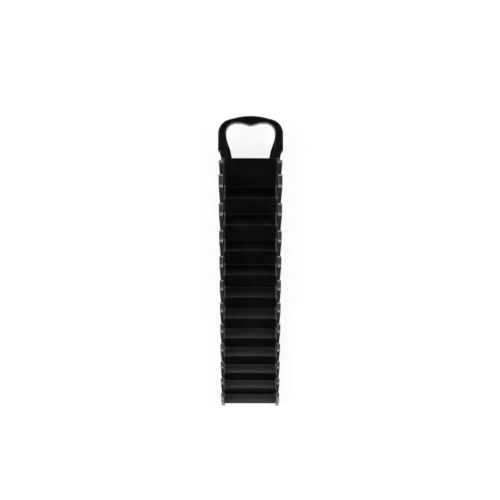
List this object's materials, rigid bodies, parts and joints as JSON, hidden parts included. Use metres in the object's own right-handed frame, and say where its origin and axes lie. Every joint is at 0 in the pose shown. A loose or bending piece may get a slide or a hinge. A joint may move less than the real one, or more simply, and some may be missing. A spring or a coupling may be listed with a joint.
{
  "type": "wrench rack",
  "caption": "One-piece moulded wrench rack: two side rails with graded inclined slots, a stepped web between them and a loop handle with two finger scallops.",
  "frame": {"origin": "middle of the footprint, on the surface that the back edges of the rails lie on", "axes": "+X across the rack, +Y along it towards the handle, +Z out of its open front"},
  "size_m": [0.063, 0.2836, 0.0266],
  "materials": {
    "black_polymer": "satin moulded polymer with a fine grain"
  },
  "bodies": {
    "root": {"wrench_rack": "black_polymer"}
  },
  "joints": []
}
